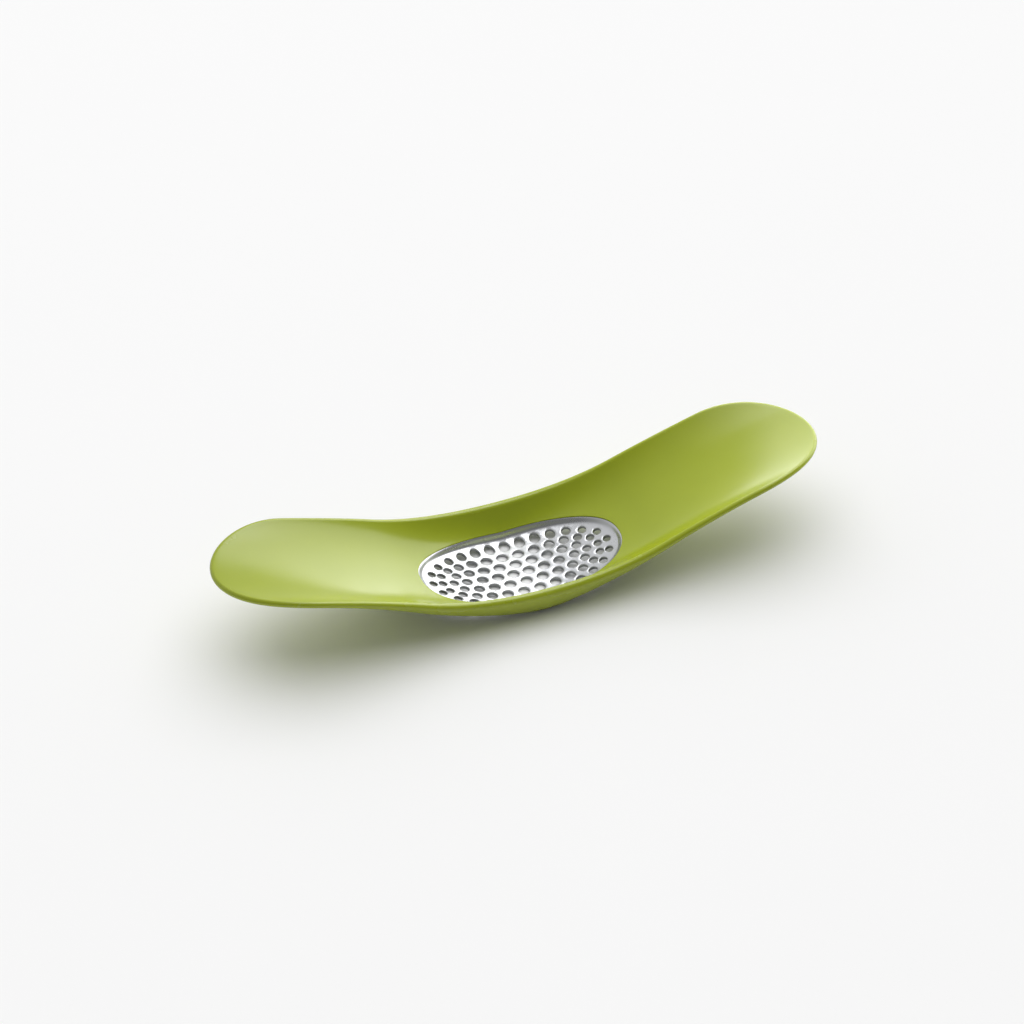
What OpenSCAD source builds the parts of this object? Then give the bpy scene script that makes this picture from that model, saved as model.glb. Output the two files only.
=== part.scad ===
// Rocking garlic press: a trough-shaped moulded body with a perforated steel dish set in its sole.
// X runs along the length, Y across, Z up. The origin is on the worktop, under the middle of the sole.

/* [Body outline] */
// Length from tip to tip
body_l = 165; // [155:1:175]
// Half-width of the rim's edge line in the middle
rim_half_w = 18; // [17.5:0.1:19]
// Half-width of the rim's edge line at the start of the rounded tips
wing_half_w = 17.6; // [16.5:0.1:18.5]
// Length of each rounded tip
tip_l = 23.7; // [20:0.1:30]

/* [Curve along the length] */
// Radius of the rocking arc
rock_r = 80.5; // [72:0.1:90]
// Distance from the middle at which the rocking arc hands over to the wing's reverse arc
flip_x = 33.5; // [31:0.1:38]
// Radius of the wing's reverse arc
wing_r = 218; // [180:1:250]

/* [Trough across the width] */
// Rise of the side wall in the middle
wall_h = 8.6; // [7.5:0.1:9.5]
// Rise of the side edge near the tips
wing_cup = 4.5; // [3:0.1:6]
// Distance from the middle line at which the turn from the floor into the wall is half done
corner_y = 13.3; // [12.8:0.1:14]
// Softness of that turn in the middle, larger is rounder
corner_soft = 3.8; // [3:0.1:5]
// Softness of that turn at the tips
wing_soft = 28.9; // [25:0.1:40]

/* [Wall thickness] */
// Thickness of the body beside the steel dish
skin_t = 3.5; // [3:0.1:3.9]
// Thickness of the rounded rim in the middle
rim_t = 2.6; // [2.2:0.1:3]
// Thickness of the rounded rim at the tips
tip_t = 1.6; // [1.4:0.1:2]

/* [Steel dish] */
// Half-length of the opening in the body that shows the dish
dish_half_l = 27.4; // [26.5:0.1:28]
// Half-width of that opening
dish_half_w = 14.2; // [13.8:0.1:14.4]
// Roundness of the opening's outline: 2 is an ellipse, larger is squarer
dish_power = 2.3; // [2:0.1:2.4]
// Thickness of the sheet
sheet_t = 0.9; // [0.8:0.05:1]
// Step from the body's surface down to the edge of the sheet
seam_step = 0.3; // [0.2:0.05:0.4]
// Depth of the dish's floor below the body's surface
dish_sink = 1.1; // [0.9:0.05:1.2]
// Width of the pressed lip around the floor
lip_w = 1.4; // [1.2:0.1:1.8]
// Width of the flange that is hidden in the body
flange_w = 2; // [1.5:0.1:2.4]

/* [Holes] */
// Diameter of the holes in the middle of the dish
hole_d = 2.9; // [2.6:0.1:3]
// Diameter of the holes beside the dish's long edges
side_hole_d = 2.6; // [2.4:0.1:3]
// Diameter of the holes at the ends of the dish
end_hole_d = 2.1; // [1.8:0.1:2.1]
// Distance between neighbouring holes along the middle row
hole_pitch = 4.22; // [4.14:0.02:4.4]
// Holes in the middle row
row_holes = 8; // [6:2:8]
// Holes in each ring around the middle row, from the inside
ring_holes = [20, 26, 28];

/* [Hidden] */

stations = 96;          // stations around the dish and the rim
top_steps = 11;         // steps across the body's surface, from the dish to the rim
rim_steps = 6;          // steps around the rounded rim
bottom_steps = 8;       // steps back across the underside
tip_x = (body_l - tip_t) / 2;    // the rim's edge line ends half a thickness inside the tip
wall_ref = 19;                   // the wall's rise is stated at this distance from the middle line
base_z = dish_sink + sheet_t;    // height of the body's surface, carried across the middle of the dish
crown = 0.03;           // the sheet's middle stands this much above the two lines that it rests on
crown_end = 0.7;        // and comes down to them at this share of the floor's size
flange_sink = seam_step + 0.25;  // depth of the flange's outer edge below the body's surface
crowding = [0.033, 0.05, 0];     // how much each ring's holes crowd towards its ends
side_y = 11;                     // the row beside each long edge is this far from the middle line
shrink_from = 8;                 // the holes start to shrink at this distance along the length
shrink_over = 15;                // and reach their smallest size this much further out
ring_power = [4.1, 2.75, 2.25];  // roundness of each ring: the inner ones are squarer
turn_x = tip_x - tip_l;          // the sides end and the rounded tips start here
turn_slope = asin(flip_x / rock_r);

function mix(a, b, t) = a + (b - a) * t;
function clamp01(t) = min(max(t, 0), 1);
function smooth(t) = clamp01(t) * clamp01(t) * (3 - 2 * clamp01(t));
function along(x) = clamp01(abs(x) / (body_l / 2));

// Height of the middle line: a rocking arc, then a reverse arc that levels out towards the tip
function rocker_z(x) = rock_r * (1 - sqrt(1 - pow(x / rock_r, 2)));
function wing_sin(x) = sin(turn_slope) - (x - flip_x) / wing_r;
function line_z(x) = abs(x) <= flip_x ? rocker_z(x)
    : rocker_z(flip_x) + wing_r * (sqrt(1 - pow(wing_sin(abs(x)), 2)) - cos(turn_slope));

// Rise of the surface away from the middle line: flat floor, soft corner, flared wall
function corner_at(x) = corner_y * sqrt(cos(90 * along(x)));
function soft_at(x) = mix(corner_soft, wing_soft, along(x));
function turned(t, s) = 4 * s * (pow(t, 3) - pow(t, 4) / 2);
function bent(v, s) = turned(clamp01((v + s) / (2 * s)), s) + 2 * max(v - s, 0);
function bend(y, c, s) = bent((y * y - c * c) / (2 * corner_y), s);
function wall_share(y, c, s) = (bend(y, c, s) - bend(0, c, s)) / (bend(wall_ref, c, s) - bend(0, c, s));
function rise_at(x) = mix(wing_cup, wall_h, pow((1 + cos(180 * along(x))) / 2, 2));
function top_z(x, y) = base_z + line_z(x) + rise_at(x) * wall_share(y, corner_at(x), soft_at(x));

// Upward unit normal of that surface, from small differences
probe = 0.05;
function unit(v) = v / norm(v);
function up_at(x, y) = unit([(top_z(x - probe, y) - top_z(x + probe, y)) / (2 * probe),
                             (top_z(x, y - probe) - top_z(x, y + probe)) / (2 * probe), 1]);
// Point at a depth below the surface, over the plan position p
function sunk(p, depth) = [p[0], p[1], top_z(p[0], p[1])] - depth * up_at(p[0], p[1]);

// Plan outlines, by the angle a around the middle
function sgn_pow(v, e) = sign(v) * pow(abs(v), e);
function oval(a, half_l, half_w, power) =
    [half_l * sgn_pow(cos(a), 2 / power), half_w * sgn_pow(sin(a), 2 / power)];
function dish_edge(a, inset) = oval(a, dish_half_l - inset, dish_half_w - inset, dish_power);
function side_w(x) = mix(rim_half_w, wing_half_w, pow(x / tip_x, 2));
function rim_w(x) = side_w(x) * (x <= turn_x ? 1 : sqrt(max(0, 1 - pow((x - turn_x) / tip_l, 2))));
function rim_edge(a) = [tip_x * cos(a), sign(sin(a)) * rim_w(abs(tip_x * cos(a)))];
function rim_t_at(x) = mix(tip_t, rim_t, (1 + cos(180 * clamp01(1.4 * along(x)))) / 2);

// Body: one closed section per station, from the dish over the rim and back underneath
function across(a, u) = mix(dish_edge(a, 0), rim_edge(a), u);
function body_t(a, u) = mix(skin_t, rim_t_at(rim_edge(a)[0]), u);
function rim_dir(a) = sunk(rim_edge(a + 0.2), 0) - sunk(rim_edge(a - 0.2), 0);
function rim_out(a) = unit(cross(rim_dir(a), up_at(rim_edge(a)[0], rim_edge(a)[1])));
function rim_point(a, turn) = sunk(rim_edge(a), body_t(a, 1) / 2)
    + body_t(a, 1) / 2 * (cos(turn) * up_at(rim_edge(a)[0], rim_edge(a)[1]) + sin(turn) * rim_out(a));
function body_section(a) = [
    for (i = [0:top_steps - 1]) sunk(across(a, i / top_steps), 0),
    for (i = [0:rim_steps]) rim_point(a, 180 * i / rim_steps),
    for (i = [bottom_steps - 1:-1:0]) sunk(across(a, i / bottom_steps), body_t(a, i / bottom_steps)),
    sunk(dish_edge(a, 0), seam_step + sheet_t),
    sunk(dish_edge(a, -flange_w), flange_sink + sheet_t),
    sunk(dish_edge(a, -flange_w), flange_sink),
    sunk(dish_edge(a, 0), seam_step)
];

module body() {
    sections = [for (k = [0:stations - 1]) body_section(360 * k / stations)];
    n = len(sections[0]);
    faces = [for (k = [0:stations - 1], i = [0:n - 1])
        let (next = (k + 1) % stations * n, this = k * n, j = (i + 1) % n)
        each [[this + j, this + i, next + i], [this + j, next + i, next + j]]];
    color([0.67, 0.74, 0.2]) polyhedron([for (s = sections) each s], faces, convexity = 6);
}

// Dish: rings of the sheet's upper face from the middle outwards, then back along its lower face
floor_shares = [0.25, 0.5, crown_end, 0.85];
lip_insets = [lip_w, 0.75 * lip_w, 0.5 * lip_w, 0.25 * lip_w, 0];
function floor_sink(share) = dish_sink - crown * max(0, 1 - pow(share / crown_end, 2));
function sheet_sink(inset) = mix(seam_step, dish_sink, smooth(inset / lip_w));
function sheet_face(a, extra) = [
    for (f = floor_shares) sunk(f * dish_edge(a, lip_w), floor_sink(f) + extra),
    for (i = lip_insets) sunk(dish_edge(a, i), sheet_sink(i) + extra),
    sunk(dish_edge(a, -flange_w), flange_sink + extra)
];
function reversed(v) = [for (i = [len(v) - 1:-1:0]) v[i]];
function sheet_section(a) = concat(sheet_face(a, 0), reversed(sheet_face(a, sheet_t)));

module sheet_blank() {
    sections = [for (k = [0:stations - 1]) sheet_section(360 * k / stations)];
    n = len(sections[0]);
    upper_middle = stations * n;
    lower_middle = upper_middle + 1;
    rings = [for (k = [0:stations - 1], i = [0:n - 2])
        let (next = (k + 1) % stations * n, this = k * n)
        each [[this + i + 1, this + i, next + i + 1], [next + i, next + i + 1, this + i]]];
    middles = [for (k = [0:stations - 1])
        let (next = (k + 1) % stations * n, this = k * n)
        each [[upper_middle, next, this], [lower_middle, this + n - 1, next + n - 1]]];
    points = [for (s = sections) each s, sunk([0, 0], floor_sink(0)), sunk([0, 0], floor_sink(0) + sheet_t)];
    polyhedron(points, concat(rings, middles), convexity = 4);
}

// Rings of holes: ovals one row apart across the width, closer together at the ends
row_gap = hole_pitch * sqrt(3) / 2;
row_end = hole_pitch * (row_holes - 1) / 2;
function ring_oval(k, a) = oval(a, row_end + k * (3.8 - 0.25 * k), k * row_gap, ring_power[k - 1]);

// Points spread along a quarter of an oval by the distance walked, from its end on the X axis
walk = 90;
function steps_of(k) = [for (i = [1:walk]) norm(ring_oval(k, i * 90 / walk) - ring_oval(k, (i - 1) * 90 / walk))];
function running(v) = [for (i = 0, s = 0; i <= len(v); s = s + (i < len(v) ? v[i] : 0), i = i + 1) s];
function walked(k, share, sums) = ring_oval(k, 90 / walk * lookup(share * sums[walk], [for (i = [0:walk]) [sums[i], i]]));
function crowded(k, share) = share - crowding[k - 1] * sin(180 * share);
function ring_quarter(k) = let (sums = running(steps_of(k)), n = ring_holes[k - 1] / 4)
    [for (i = [0:floor(n)]) walked(k, crowded(k, i / n), sums)];

// Each point of a quarter and its mirror images, without repeats on the axes
function mirrored(p) = [for (sx = abs(p[0]) < 0.01 ? [1] : [-1, 1], sy = abs(p[1]) < 0.01 ? [1] : [-1, 1])
    [sx * p[0], sy * p[1]]];
hole_places = concat(
    [for (i = [0:row_holes - 1]) [hole_pitch * (i - (row_holes - 1) / 2), 0]],
    [for (k = [1:len(ring_holes)], p = ring_quarter(k)) each mirrored(p)]);

// A hole is punched square to the sheet, smaller towards the sides and the ends
function hole_d_at(p) = mix(mix(hole_d, side_hole_d, pow(p[1] / side_y, 2)), end_hole_d,
                            smooth((abs(p[0]) - shrink_from) / shrink_over));
module hole(p) {
    up = up_at(p[0], p[1]);
    translate(sunk(p, dish_sink + sheet_t / 2))
        rotate([0, acos(up[2]), atan2(up[1], up[0])])
            cylinder(d = hole_d_at(p), h = 5, center = true, $fn = 32);
}

module crush_plate() {
    color([0.8, 0.81, 0.83]) difference() {
        sheet_blank();
        for (p = hole_places) hole(p);
    }
}

body();
crush_plate();
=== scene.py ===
import math

import bpy
import numpy as np
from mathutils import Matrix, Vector, geometry


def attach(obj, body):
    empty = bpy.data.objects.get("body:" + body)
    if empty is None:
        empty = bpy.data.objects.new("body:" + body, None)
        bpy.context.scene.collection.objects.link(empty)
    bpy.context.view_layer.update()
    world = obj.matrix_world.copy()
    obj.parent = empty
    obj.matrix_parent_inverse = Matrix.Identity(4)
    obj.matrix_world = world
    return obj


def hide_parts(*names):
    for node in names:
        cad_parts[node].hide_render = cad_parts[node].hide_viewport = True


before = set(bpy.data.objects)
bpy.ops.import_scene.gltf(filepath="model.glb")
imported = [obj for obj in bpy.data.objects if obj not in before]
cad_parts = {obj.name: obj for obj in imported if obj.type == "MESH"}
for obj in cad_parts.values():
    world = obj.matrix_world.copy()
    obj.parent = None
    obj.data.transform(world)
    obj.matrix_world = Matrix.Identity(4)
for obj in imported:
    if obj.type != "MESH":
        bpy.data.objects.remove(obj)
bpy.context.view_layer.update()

# Driving sizes, in millimetres: the same design as the CAD part's
BODY_L = 165.0
TIP_T = 1.6            # thickness of the rim at the tips, and in the middle
RIM_T = 2.6
SKIN_T = 3.5           # thickness of the plastic beside the dish
RIM_HALF_W = 18.0      # half the width over the rim's middle line, in the middle and at the tips
WING_HALF_W = 17.6
TIP_L = 23.7           # length of a rounded tip
ROCK_R = 80.5          # rocking arc of the inner face
FLIP_X = 33.5          # where it turns into the reverse arc of a handle
WING_R = 218.0
WALL_H = 8.6           # rise of the walls in the middle, and of the handles' sides at the tips
WING_CUP = 4.5
WALL_REF = 19.0        # distance from the middle line where they have risen that far
CORNER_Y = 13.3        # where the floor turns up into the wall
CORNER_SOFT = 3.8      # how gradual that turn is in the middle, and at the tips
WING_SOFT = 28.9
DISH_HALF_L = 27.4
DISH_HALF_W = 14.2
DISH_POWER = 2.3       # squareness of the dish's outline
SHEET_T = 0.9
SEAM_STEP = 0.3        # the steel's edge lies this far below the plastic around it
DISH_SINK = 1.1        # and the dish's floor this far below the inner face
LIP_W = 1.4            # width of the pressed lip between them
CROWN = 0.03           # extra height of the floor's middle, which fades out
CROWN_END = 0.7        # at this share of the way to the lip
HOLE_D = 2.9
SIDE_HOLE_D = 2.6      # SIDE_Y from the middle line
END_HOLE_D = 2.1       # at the ends
SIDE_Y = 11.0
SHRINK_FROM = 8.0      # distance from the middle where the holes start to shrink
SHRINK_OVER = 15.0     # and the length over which they do
HOLE_PITCH = 4.22
ROW_HOLES = 8          # in the row along the middle line
RINGS = ((20, 4.1, 0.033), (26, 2.75, 0.05), (28, 2.25, 0.0))   # holes, squareness, crowding to the ends
RING_REACH = 3.8       # ring k ends k * (RING_REACH - k * REACH_LOSS) past the row's last hole
REACH_LOSS = 0.25

MM = 0.001             # metres
INSIDE = 0.9995        # keeps these finer curves inside the CAD part's box
TIP_X = (BODY_L - TIP_T) / 2
TURN_X = TIP_X - TIP_L
TURN_SIN = FLIP_X / ROCK_R
BASE_Z = DISH_SINK + SHEET_T


# ---------------------------------------------------------------- the shape's formulas

def mix(a, b, t):
    return a + (b - a) * t


def smooth(t):
    t = np.clip(t, 0.0, 1.0)
    return t * t * (3 - 2 * t)


def along(x):
    """0 at the middle of the length, 1 at the tips."""
    return np.clip(np.abs(x) / (BODY_L / 2), 0.0, 1.0)


def line_z(x):
    """Height of the middle line: a rocking arc, then a reverse arc out to the tip."""
    x = np.abs(x)
    rocker = ROCK_R * (1 - np.sqrt(1 - (np.minimum(x, FLIP_X) / ROCK_R) ** 2))
    wing_sin = TURN_SIN - (np.maximum(x, FLIP_X) - FLIP_X) / WING_R
    return rocker + WING_R * (np.sqrt(1 - wing_sin ** 2) - math.sqrt(1 - TURN_SIN ** 2))


def bend(y, corner, soft):
    """0 on the floor, then a soft turn into a parabola."""
    v = (y * y - corner * corner) / (2 * CORNER_Y)
    t = np.clip((v + soft) / (2 * soft), 0.0, 1.0)
    return 4 * soft * (t ** 3 - t ** 4 / 2) + 2 * np.maximum(v - soft, 0.0)


def top_z(x, y):
    """Height of the trough's inner face over the plan position (x, y)."""
    corner = CORNER_Y * np.sqrt(np.cos(math.pi / 2 * along(x)))
    soft = mix(CORNER_SOFT, WING_SOFT, along(x))
    flat = bend(0 * y, corner, soft)
    share = (bend(y, corner, soft) - flat) / (bend(0 * y + WALL_REF, corner, soft) - flat)
    rise = mix(WING_CUP, WALL_H, ((1 + np.cos(math.pi * along(x))) / 2) ** 2)
    return BASE_Z + line_z(x) + rise * share


def unit(v):
    return v / np.linalg.norm(v, axis=-1, keepdims=True)


def up_at(x, y):
    """Upward unit normal of the inner face."""
    probe = 0.05
    return unit(np.stack([(top_z(x - probe, y) - top_z(x + probe, y)) / (2 * probe),
                          (top_z(x, y - probe) - top_z(x, y + probe)) / (2 * probe),
                          np.ones_like(x)], -1))


def sunk(p, depth):
    """Points at a depth below the inner face, over the plan positions p."""
    x, y = p[..., 0], p[..., 1]
    depth = np.broadcast_to(np.asarray(depth, float), x.shape)
    return np.stack([x, y, top_z(x, y)], -1) - depth[..., None] * up_at(x, y)


def oval(a, half_l, half_w, power):
    """Superellipse: an ellipse at a power of 2, squarer above it."""
    c, s = np.cos(a), np.sin(a)
    return np.stack([half_l * np.sign(c) * np.abs(c) ** (2 / power),
                     half_w * np.sign(s) * np.abs(s) ** (2 / power)], -1)


def rim_edge(a):
    """Plan outline of the rim: gently curved sides and round tips."""
    x = TIP_X * np.cos(a)
    side = mix(RIM_HALF_W, WING_HALF_W, (x / TIP_X) ** 2)
    past = np.clip((np.abs(x) - TURN_X) / TIP_L, 0.0, 1.0)
    return np.stack([x, np.sign(np.sin(a)) * side * np.sqrt(1 - past ** 2)], -1)


# ---------------------------------------------------------------- the body

STATIONS = 480         # around the body
TOP_STEPS = 44         # across the inner face, around the rim and across the outer face
RIM_STEPS = 16
BOTTOM_STEPS = 26
# the plastic's rounded edge at the dish: steps outwards and down
LIP = ((0.26, 0.0), (0.13, 0.012), (0.05, 0.05), (0.01, 0.11), (0.0, 0.2))
GAP = 0.01             # between the groove's faces and the steel in it
FLANGE_W = 2.0         # the hidden flange, in its groove
FLANGE_DROP = 0.25     # how much lower the flange's outer edge is than its inner one
FLANGE_SINK = SEAM_STEP + FLANGE_DROP
RIM_FADE = 1.4         # the rim is down to its tip's thickness at 1 / RIM_FADE of the way there
RUN_STEP = 0.003       # angle either side of a rim point, to find which way the rim runs
WEAR_PEAK = 1.3        # above 1, so that the worn gloss covers more than the rim's very edge
WEAR_REACH = 3         # the wear fades over half the rim's rings of points and this many more


def dish_edge(a, inset):
    return oval(a, DISH_HALF_L - inset, DISH_HALF_W - inset, DISH_POWER)


def around(count):
    """Evenly spread angles, none of them on an axis."""
    return 2 * math.pi * (np.arange(count) + 0.5) / count


def body_rings():
    """Closed sections across the body, as rings of points that run around it."""
    a = around(STATIONS)
    inner, outer = dish_edge(a, 0), rim_edge(a)
    fade = np.clip(RIM_FADE * along(outer[:, 0]), 0, 1)
    rim_t = mix(TIP_T, RIM_T, (1 + np.cos(math.pi * fade)) / 2)
    up = up_at(outer[:, 0], outer[:, 1])
    run = sunk(rim_edge(a + RUN_STEP), 0) - sunk(rim_edge(a - RUN_STEP), 0)
    out = unit(np.cross(run, up))
    middle = sunk(outer, rim_t / 2)
    span = np.linalg.norm(outer - inner, axis=1, keepdims=True)

    def across(u):
        return mix(inner, outer, u)

    def thickness(u):
        return mix(SKIN_T, rim_t, u)

    rings = [sunk(inner, SEAM_STEP - GAP)]
    rings += [sunk(across(away / span), depth) for away, depth in reversed(LIP)]
    start = LIP[0][0] / span
    rings += [sunk(across(mix(start, 1.0, i / TOP_STEPS)), 0) for i in range(1, TOP_STEPS)]
    for i in range(RIM_STEPS + 1):
        turn = math.pi * i / RIM_STEPS
        rings.append(middle + rim_t[:, None] / 2 * (math.cos(turn) * up + math.sin(turn) * out))
    steps = [i / BOTTOM_STEPS for i in range(BOTTOM_STEPS - 1, 0, -1)]
    rings += [sunk(across(u), thickness(u)) for u in steps]
    rings += [sunk(across(away / span), SKIN_T - depth) for away, depth in LIP]
    rings.append(sunk(inner, SEAM_STEP + SHEET_T + GAP))
    rings.append(sunk(dish_edge(a, -FLANGE_W - GAP), FLANGE_SINK + SHEET_T + GAP))
    rings.append(sunk(dish_edge(a, -FLANGE_W - GAP), FLANGE_SINK - GAP))
    return np.stack(rings)


def make_mesh(name, points, faces):
    mesh = bpy.data.meshes.new(name)
    mesh.from_pydata((np.asarray(points) * MM * INSIDE).tolist(), [], faces)
    mesh.validate()
    mesh.polygons.foreach_set("use_smooth", [True] * len(mesh.polygons))
    mesh.update()
    piece = bpy.data.objects.new(name, mesh)
    bpy.context.scene.collection.objects.link(piece)
    return piece


def float_layer(piece, name, values):
    layer = piece.data.attributes.new(name, "FLOAT", "POINT")
    layer.data.foreach_set("value", np.asarray(values, np.float32))


def make_body():
    rings = body_rings()
    count, stations = rings.shape[:2]
    faces = []
    for i in range(count):
        for k in range(stations):
            j, m = (i + 1) % count, (k + 1) % stations
            faces.append((i * stations + k, j * stations + k, j * stations + m, i * stations + m))
    points = rings.reshape(-1, 3)
    piece = make_mesh("trough_body", points, faces)
    first_rim = len(LIP) + TOP_STEPS
    half = RIM_STEPS / 2
    from_rim = np.abs(np.arange(count) - (first_rim + half)) / (half + WEAR_REACH)
    float_layer(piece, "edge_wear", np.repeat(np.clip(WEAR_PEAK - from_rim, 0, 1), stations))
    return piece


# ---------------------------------------------------------------- the steel dish

HOLE_POINTS = 32       # around a hole
EDGE_STATIONS = 256    # around the dish
WALK = 90              # steps along a quarter of a ring, to measure its length
HALVINGS = 40          # steps in the search for a point's inset
FLANGE_SPARE = 0.2     # how far past the flange's end that search starts
EDGE_INSETS = (-2.0, -1.0, -0.5, -0.1, 0.1, 0.3, 0.5, 0.7, 0.9, 1.1, 1.3)   # from the flange inwards
FILL_GAP = 0.46        # between the points that fill the sheet
EDGE_CLEAR = 0.6       # shares of FILL_GAP kept free along the edge
HOLE_CLEAR = 0.4       # and around each hole
ROLL = 0.27            # width of the rounded edge around a hole
END_ROLL = 0.1         # the same at the ends of the dish, where the holes crowd together
# a hole's wall: steps outwards, where its edge is a full ROLL wide, and down
WALL = ((0.22, 0.015), (0.11, 0.06), (0.04, 0.13), (0.0, 0.26),
        (0.0, 0.5), (0.0, 0.74), (0.03, 0.82), (0.1, 0.88))
WALL_DULL_AND_SHADE = (0.1, 0.4)                 # depths between which a hole's wall turns dull, and darker with painted shade
SAME_POINT = 1e-6      # how close two points are when they count as one


def outline_value(x, y, inset):
    """1 on the dish's outline moved inwards by inset, less inside it and more outside."""
    return (np.abs(x) / (DISH_HALF_L - inset)) ** DISH_POWER \
        + (np.abs(y) / (DISH_HALF_W - inset)) ** DISH_POWER


def inset_of(x, y):
    """How far inside the opening's edge a plan position is, up to the lip's width."""
    low, high = np.full(x.shape, -FLANGE_W - FLANGE_SPARE), np.full(x.shape, LIP_W)
    for _ in range(HALVINGS):
        mid = (low + high) / 2
        outside = outline_value(x, y, mid) > 1
        low, high = np.where(outside, low, mid), np.where(outside, mid, high)
    return (low + high) / 2


def sheet_sink(x, y):
    """Depth of the sheet's upper face: flange, pressed lip, then a floor with a slight crown."""
    inset = inset_of(x, y)
    hidden = np.clip(-inset / FLANGE_W, 0, 1)
    share = outline_value(x, y, LIP_W) ** (1 / DISH_POWER)
    floor = DISH_SINK - CROWN * np.clip(1 - (share / CROWN_END) ** 2, 0, 1)
    return mix(mix(SEAM_STEP, floor, smooth(inset / LIP_W)), FLANGE_SINK, hidden)


def sheet_point(p, depth):
    """Points at a depth below the sheet's upper face."""
    return sunk(p, sheet_sink(p[..., 0], p[..., 1]) + depth)


def ring_places(k):
    """Plan positions of one ring's holes, spaced by the distance walked from its ends."""
    count, power, crowding = RINGS[k - 1]
    half_l = HOLE_PITCH * (ROW_HOLES - 1) / 2 + k * (RING_REACH - REACH_LOSS * k)
    half_w = k * HOLE_PITCH * math.sqrt(3) / 2
    a = np.linspace(0, math.pi / 2, WALK + 1)
    line = oval(a, half_l, half_w, power)
    line[-1, 0] = 0.0
    walked = np.concatenate([[0], np.cumsum(np.linalg.norm(np.diff(line, axis=0), axis=1))])
    share = np.arange(int(count / 4) + 1) / (count / 4)
    share = share - crowding * np.sin(math.pi * share)
    quarter = np.stack([np.interp(share * walked[-1], walked, line[:, i]) for i in (0, 1)], -1)
    places = set()
    for x, y in quarter.round(4).tolist():
        places |= {(x, y), (-x, y), (x, -y), (-x, -y)}
    return sorted({(x + 0.0, y + 0.0) for x, y in places})


def hole_places():
    places = [(HOLE_PITCH * (i - (ROW_HOLES - 1) / 2), 0.0) for i in range(ROW_HOLES)]
    for k in range(1, len(RINGS) + 1):
        places += ring_places(k)
    return np.array(places)


def hole_ring(place, radius):
    """Plan positions of a circle tilted like the inner face at its place."""
    up = up_at(place[0], place[1])
    side = unit(np.cross(np.array([0.0, 1.0, 0.0]), up))
    other = np.cross(up, side)
    a = 2 * math.pi * np.arange(HOLE_POINTS) / HOLE_POINTS
    return place + radius * (np.cos(a)[:, None] * side[:2] + np.sin(a)[:, None] * other[:2])


def fill_points(places, outer):
    """Hexagonal filling between the holes, inside the innermost ring of the edge."""
    edge = EDGE_INSETS[-1] + FILL_GAP * EDGE_CLEAR
    rows = []
    for j in range(-int(DISH_HALF_W / FILL_GAP) - 2, int(DISH_HALF_W / FILL_GAP) + 3):
        x = np.arange(-DISH_HALF_L, DISH_HALF_L, FILL_GAP) + (j % 2) * FILL_GAP / 2
        rows.append(np.stack([x, np.full(len(x), j * FILL_GAP * math.sqrt(3) / 2)], -1))
    p = np.concatenate(rows)
    p = p[outline_value(p[:, 0], p[:, 1], edge) < 1]
    apart = np.linalg.norm(p[:, None] - places[None], axis=2) - outer[None]
    return p[apart.min(axis=1) > FILL_GAP * HOLE_CLEAR]


def hole_sizes(places):
    """Radii and rolled edges: smaller towards the sides, and smallest at the ends."""
    towards_end = smooth((np.abs(places[:, 0]) - SHRINK_FROM) / SHRINK_OVER)
    middle_d = mix(HOLE_D, SIDE_HOLE_D, (places[:, 1] / SIDE_Y) ** 2)
    return mix(middle_d, END_HOLE_D, towards_end) / 2, mix(ROLL, END_ROLL, towards_end)


def punched_sheet(places, mouths):
    """Plan points of the punched sheet, and the triangles between its edge and the holes' mouths.

    The edge's points come first, then each hole's, then the filling between them."""
    loops = [dish_edge(around(EDGE_STATIONS), EDGE_INSETS[-1])]
    loops += [hole_ring(place, mouth) for place, mouth in zip(places, mouths)]
    flat = np.concatenate(loops + [fill_points(places, mouths)])
    edges, start = [], 0
    for loop in loops:
        n = len(loop)
        edges += [(start + i, start + (i + 1) % n) for i in range(n)]
        start += n
    _, _, triangles, origins, _, _ = geometry.delaunay_2d_cdt(
        [Vector(p) for p in flat], edges, [], 1, SAME_POINT)

    hole_of = np.full(len(flat), -1)
    hole_of[EDGE_STATIONS:start] = np.repeat(np.arange(len(places)), HOLE_POINTS)
    kept = []
    for triangle in triangles:
        t = tuple(origins[i][0] for i in triangle)
        if hole_of[t[0]] >= 0 and len({*hole_of[list(t)]}) == 1:
            continue        # all three corners on one hole: this triangle would close it
        u, v, w = flat[t[0]], flat[t[1]], flat[t[2]]
        turn = (v[0] - u[0]) * (w[1] - u[1]) - (v[1] - u[1]) * (w[0] - u[0])
        kept.append(t if turn > 0 else t[::-1])
    return flat, kept


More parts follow.
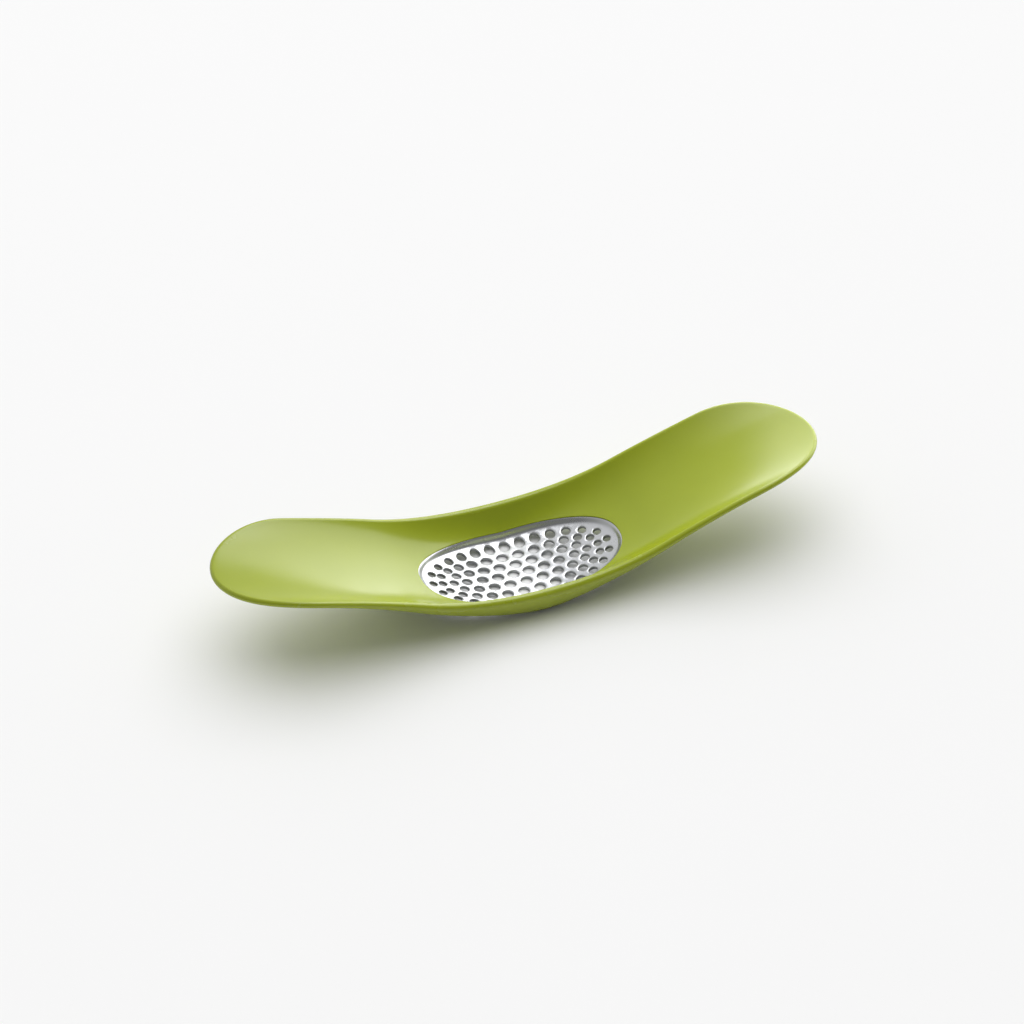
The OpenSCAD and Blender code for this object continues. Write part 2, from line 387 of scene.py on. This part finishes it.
def make_plate():
    places = hole_places()
    radii, rolls = hole_sizes(places)
    flat, triangles = punched_sheet(places, radii + rolls)
    below = len(flat)
    points = [sheet_point(flat, 0.0), sheet_point(flat, SHEET_T)]
    faces = []
    for t in triangles:
        faces += [t, tuple(i + below for i in t[::-1])]

    def add_ring(plan, depth):
        """Adds a closed ring of points and gives their numbers."""
        start = sum(len(p) for p in points)
        points.append(sheet_point(plan, depth))
        return list(range(start, start + len(plan)))

    def strip(first, second):
        """Quads between two closed rings."""
        n = len(first)
        for i in range(n):
            j = (i + 1) % n
            faces.append((first[i], second[i], second[j], first[j]))

    # rings from the innermost ring of the edge out to the flange's end, and back underneath
    last = list(range(EDGE_STATIONS))
    for depth, insets in ((0.0, EDGE_INSETS[-2::-1]), (SHEET_T, EDGE_INSETS[:-1])):
        for inset in insets:
            ring = add_ring(dish_edge(around(EDGE_STATIONS), inset), depth)
            strip(last, ring)
            last = ring
    strip(last, [below + i for i in range(EDGE_STATIONS)])

    wall_from = sum(len(p) for p in points)
    for k, place in enumerate(places):
        start = EDGE_STATIONS + k * HOLE_POINTS
        mouth = list(range(start, start + HOLE_POINTS))
        last = mouth
        for away, depth in WALL:
            ring = add_ring(hole_ring(place, radii[k] + away * rolls[k] / ROLL), depth)
            strip(ring, last)
            last = ring
        strip([below + i for i in mouth], last)

    points = np.concatenate(points)
    piece = make_mesh("steel_dish", points, faces)
    # mask of the holes' walls below their rounded edges: duller, and darkened with painted shade
    wall_dull_and_shade = np.zeros(len(points))
    depths = np.tile(np.repeat([depth for _, depth in WALL], HOLE_POINTS), len(places))
    wall_dull_and_shade[wall_from:] = np.clip((depths - WALL_DULL_AND_SHADE[0]) / (WALL_DULL_AND_SHADE[1] - WALL_DULL_AND_SHADE[0]), 0, 1)
    float_layer(piece, "hole_wall_dull_and_shaded", wall_dull_and_shade)
    return piece


# ---------------------------------------------------------------- materials

class Nodes:
    """A material with its Principled shader, and short ways to add nodes to it."""

    def __init__(self, name):
        self.material = bpy.data.materials.new(name)
        self.material.use_nodes = True
        self.tree = self.material.node_tree
        self.shader = self.tree.nodes["Principled BSDF"]

    def add(self, kind, **settings):
        node = self.tree.nodes.new(kind)
        for key, value in settings.items():
            setattr(node, key, value)
        return node

    def link(self, source, target):
        self.tree.links.new(source, target)

    def noise(self, scale, detail, stretch=(1.0, 1.0, 1.0)):
        """Noise over the object's own coordinates; scale is features per metre."""
        coords = self.add("ShaderNodeTexCoord")
        mapping = self.add("ShaderNodeMapping")
        mapping.inputs["Scale"].default_value = stretch
        texture = self.add("ShaderNodeTexNoise")
        texture.inputs["Scale"].default_value = scale
        texture.inputs["Detail"].default_value = detail
        self.link(coords.outputs["Object"], mapping.inputs["Vector"])
        self.link(mapping.outputs["Vector"], texture.inputs["Vector"])
        return texture.outputs["Fac"]

    def ramp(self, value, low, high, to_low=0.0, to_high=1.0):
        """The value's stretch from low to high, spread over to_low to to_high."""
        node = self.add("ShaderNodeMapRange")
        node.inputs["From Min"].default_value = low
        node.inputs["From Max"].default_value = high
        node.inputs["To Min"].default_value = to_low
        node.inputs["To Max"].default_value = to_high
        self.link(value, node.inputs["Value"])
        return node.outputs["Result"]

    def combine(self, operation, first, second):
        """Sum or product of two sockets, or of a socket and a number."""
        node = self.add("ShaderNodeMath", operation=operation)
        for socket, value in zip(node.inputs, (first, second)):
            if isinstance(value, (int, float)):
                socket.default_value = value
            else:
                self.link(value, socket)
        return node.outputs[0]

    def tint(self, amount, first, second):
        """A colour between two others."""
        node = self.add("ShaderNodeMix", data_type="RGBA")
        self.link(amount, node.inputs["Factor"])
        for name, colour in (("A", first), ("B", second)):
            socket = next(s for s in node.inputs if s.name == name and s.type == "RGBA")
            if isinstance(colour, tuple):
                socket.default_value = (*colour, 1.0)
            else:
                self.link(colour, socket)
        return next(s for s in node.outputs if s.type == "RGBA")

    def layer(self, name):
        """A float layer of the mesh, made by float_layer."""
        node = self.add("ShaderNodeAttribute", attribute_name=name)
        return node.outputs["Fac"]

    def bump(self, height, distance, under=None):
        """Bumps up to distance metres high, on top of the bumps in under."""
        node = self.add("ShaderNodeBump")
        node.inputs["Strength"].default_value = 1.0
        node.inputs["Distance"].default_value = distance
        self.link(height, node.inputs["Height"])
        if under:
            self.link(under, node.inputs["Normal"])
        return node.outputs["Normal"]


PLASTIC = (0.335, 0.4, 0.009)
PLASTIC_DEEP = (0.319, 0.386, 0.007)
STEEL = (0.58, 0.59, 0.61)
STEEL_SMUDGED = (0.5, 0.51, 0.53)
# the holes' walls: a darker colour that is painted shade in the holes
STEEL_WALL_SHADED = (0.3, 0.31, 0.32)
PAPER = (0.86, 0.86, 0.86)


def moulded_plastic():
    """Glossy lime plastic: faintly cloudy colour, gloss that varies a little, duller worn edges."""
    n = Nodes("moulded_lime_plastic")
    s = n.shader
    clouds = n.ramp(n.noise(70, 3), 0.3, 0.7)
    n.link(n.tint(clouds, PLASTIC, PLASTIC_DEEP), s.inputs["Base Color"])
    rubbed = n.combine("MULTIPLY", n.layer("edge_wear"), n.ramp(n.noise(120, 4), 0.4, 0.7))
    rough = n.ramp(n.noise(110, 3), 0.3, 0.7, 0.21, 0.26)
    n.link(n.combine("ADD", rough, n.combine("MULTIPLY", rubbed, 0.07)), s.inputs["Roughness"])
    peel = n.bump(n.noise(330, 2), 0.000012)
    n.link(n.bump(n.noise(5200, 2), 0.0000016, peel), s.inputs["Normal"])
    s.inputs["IOR"].default_value = 1.53
    s.inputs["Subsurface Weight"].default_value = 0.12
    s.inputs["Subsurface Radius"].default_value = (1.0, 1.0, 0.25)
    s.inputs["Subsurface Scale"].default_value = 0.0015
    return n.material


def satin_steel():
    """Satin stainless steel: fine grain along the length, faint smudges, punched walls that are duller
    and darkened with painted shade.
    """
    n = Nodes("satin_steel")
    s = n.shader
    grain = n.noise(9000, 2, (0.035, 1.0, 1.0))
    smudge = n.noise(140, 4)
    colour = n.tint(n.ramp(smudge, 0.35, 0.7, 0.0, 0.35), STEEL, STEEL_SMUDGED)
    # the holes' walls take the darker colour, which is painted shade, and more roughness for their
    # duller punched finish
    wall_dull_and_shade = n.layer("hole_wall_dull_and_shaded")
    n.link(n.tint(wall_dull_and_shade, colour, STEEL_WALL_SHADED), s.inputs["Base Color"])
    s.inputs["Metallic"].default_value = 1.0
    rough = n.ramp(smudge, 0.3, 0.7, 0.24, 0.33)
    rough = n.combine("ADD", rough, n.ramp(grain, 0.3, 0.7, -0.02, 0.04))
    n.link(n.combine("ADD", rough, n.combine("MULTIPLY", wall_dull_and_shade, 0.16)), s.inputs["Roughness"])
    drawn = n.bump(n.noise(230, 2), 0.000004)
    n.link(n.bump(grain, 0.0000012, drawn), s.inputs["Normal"])
    return n.material


def pale_floor():
    """Plain off-white paper."""
    n = Nodes("pale_floor")
    n.link(n.ramp(n.noise(14, 4), 0.3, 0.7, 0.62, 0.7), n.shader.inputs["Roughness"])
    n.shader.inputs["Base Color"].default_value = (*PAPER, 1.0)
    return n.material


# ---------------------------------------------------------------- light, floor and camera

# The camera's place: azimuth and elevation in degrees, distance and view in millimetres
AZIMUTH = -23.1
ELEVATION = 38.6
DISTANCE = 852.0
PICTURE = 1024         # pixels across
PX_PER_MM = 3.867      # at the object's middle
LOOK_RIGHT = -2.3      # the middle of the picture lies this far from the object's middle
LOOK_UP = 14.6

FRONT_LIGHT = 0.22     # brightness of the studio behind the camera, where white paper is 1
BACK_LIGHT = 0.85      # and of the studio behind the object
FADE = (-0.6, 0.8)     # stretch of the world's Y, from front to back, over which it brightens
OBJECT_LAMP = 2.45     # brightness of the object's two softboxes
FLOOR_LAMP = 1.4       # and of the floor's wash
FLOOR_SIZE = 6.0       # metres


def camera_axes():
    a, e = math.radians(AZIMUTH), math.radians(ELEVATION)
    back = Vector((math.sin(a) * math.cos(e), -math.cos(a) * math.cos(e), math.sin(e)))
    right = Vector((math.cos(a), math.sin(a), 0))
    return right, back.cross(right), back


def make_camera():
    right, up, back = camera_axes()
    middle = Vector((0, 0, BASE_Z))
    place = middle + back * DISTANCE
    target = middle + right * LOOK_RIGHT + up * LOOK_UP
    data = bpy.data.cameras.new("camera")
    data.sensor_width = 36.0
    data.lens = data.sensor_width * PX_PER_MM * DISTANCE / PICTURE
    data.clip_start = 0.01
    camera = bpy.data.objects.new("camera", data)
    camera.location = place * MM
    camera.rotation_euler = (place - target).to_track_quat("Z", "Y").to_euler()
    bpy.context.scene.collection.objects.link(camera)
    bpy.context.scene.camera = camera


def softbox(name, place, target, width, height, brightness, lit):
    """A rectangular lamp that is brightness times as bright as white paper, for the objects in lit."""
    data = bpy.data.lights.new(name, "AREA")
    data.shape = "RECTANGLE"
    data.size, data.size_y = width, height
    data.energy = brightness * math.pi * width * height
    lamp = bpy.data.objects.new(name, data)
    lamp.location = place
    lamp.rotation_euler = (Vector(place) - Vector(target)).to_track_quat("Z", "Y").to_euler()
    lamp.visible_camera = False
    lamp.light_linking.receiver_collection = bpy.data.collections.new(name + "_lights")
    for thing in lit:
        lamp.light_linking.receiver_collection.objects.link(thing)
    bpy.context.scene.collection.objects.link(lamp)


def make_light(pieces, floor):
    """Two softboxes for the object, flagged off the floor, and an even wash for the floor."""
    # name, place, target, width and height, in metres
    softbox("back_right", (0.19, 0.09, 0.26), (0.0, -0.09, 0.26), 0.32, 0.5, OBJECT_LAMP, pieces)
    softbox("overhead", (0.19, 0.09, 0.52), (0.19, 0.09, 0.0), 0.32, 0.32, OBJECT_LAMP, pieces)
    softbox("floor_wash", (0.2, 0.6, 2.5), (0.0, 0.0, 0.0), 4.0, 4.0, FLOOR_LAMP, [floor])


def make_world():
    """A white studio that is brighter behind the object than behind the camera."""
    world = bpy.data.worlds.new("studio")
    world.use_nodes = True
    tree = world.node_tree
    coords = tree.nodes.new("ShaderNodeTexCoord")
    axes = tree.nodes.new("ShaderNodeSeparateXYZ")
    fade = tree.nodes.new("ShaderNodeMapRange")
    fade.inputs["From Min"].default_value = FADE[0]
    fade.inputs["From Max"].default_value = FADE[1]
    fade.inputs["To Min"].default_value = FRONT_LIGHT
    fade.inputs["To Max"].default_value = BACK_LIGHT
    tree.links.new(coords.outputs["Generated"], axes.inputs[0])
    tree.links.new(axes.outputs["Y"], fade.inputs["Value"])
    tree.links.new(fade.outputs["Result"], tree.nodes["Background"].inputs["Strength"])
    tree.nodes["Background"].inputs["Color"].default_value = (1.0, 1.0, 1.0, 1.0)
    bpy.context.scene.world = world


def make_floor():
    bpy.ops.mesh.primitive_plane_add(size=FLOOR_SIZE, location=(0, 0, 0))
    floor = bpy.context.object
    floor.name = "floor"
    floor.data.materials.append(pale_floor())
    return floor


def place_piece(piece, material, node):
    """Gives a piece its material, and puts it in the place of one node of the CAD part."""
    piece.data.materials.append(material)
    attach(piece, "root")
    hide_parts(node)
    return piece


bpy.context.scene.view_settings.view_transform = "Standard"
make_camera()
pieces = [place_piece(make_body(), moulded_plastic(), "body"),
          place_piece(make_plate(), satin_steel(), "crush_plate")]
make_light(pieces, make_floor())
make_world()

bpy.context.view_layer.update()
